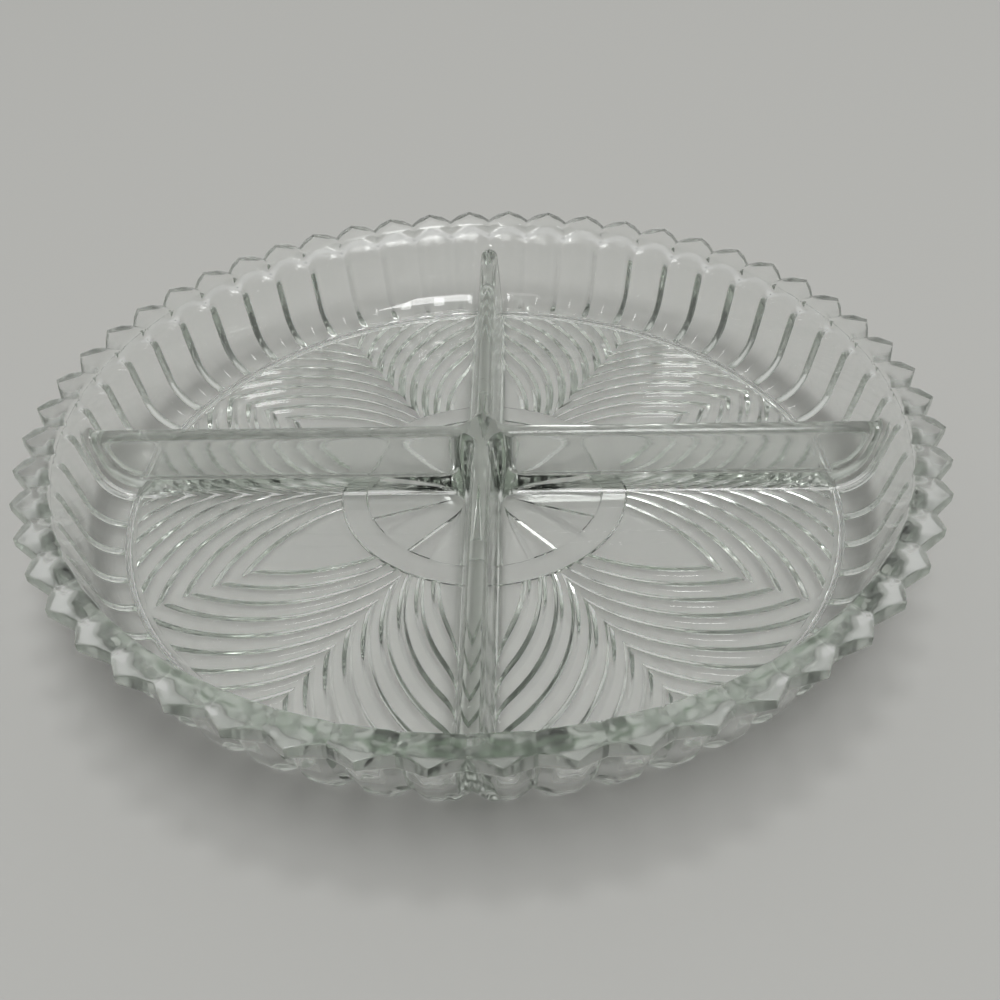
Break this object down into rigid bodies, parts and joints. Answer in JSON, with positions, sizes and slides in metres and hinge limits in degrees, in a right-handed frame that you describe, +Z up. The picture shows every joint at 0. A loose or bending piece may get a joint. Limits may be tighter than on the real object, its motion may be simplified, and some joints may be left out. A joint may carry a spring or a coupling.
{
  "type": "divided relish tray",
  "caption": "Round clear pressed-glass relish tray with a cross of low dividers, a toothed rim, a fluted wall and a star and leaf pattern pressed into its underside.",
  "frame": {"origin": "middle of the underside, in the plane the tray stands on", "axes": "+Z up out of the open side; +X along one divider and +Y along the next, so the four hollows fill the quarters; a rim tooth points along +X"},
  "size_m": [0.2032, 0.2028, 0.028],
  "materials": {
    "glass": "clear pressed glass with a fire-polished gloss and a faint grey-green tint where it is thick"
  },
  "bodies": {
    "root": {"floor_plate": "glass", "rest_ring": "glass", "centre_ring": "glass", "centre_star": "glass", "leaf_right_back": "glass", "leaf_back": "glass", "leaf_left_back": "glass", "leaf_left_front": "glass", "leaf_front": "glass", "leaf_right_front": "glass", "wall_back_right": "glass", "wall_back_left": "glass", "wall_front_left": "glass", "wall_front_right": "glass", "rim_back_right": "glass", "rim_back_left": "glass", "rim_front_left": "glass", "rim_front_right": "glass", "divider_right": "glass", "divider_back": "glass", "divider_left": "glass", "divider_front": "glass"}
  },
  "joints": []
}
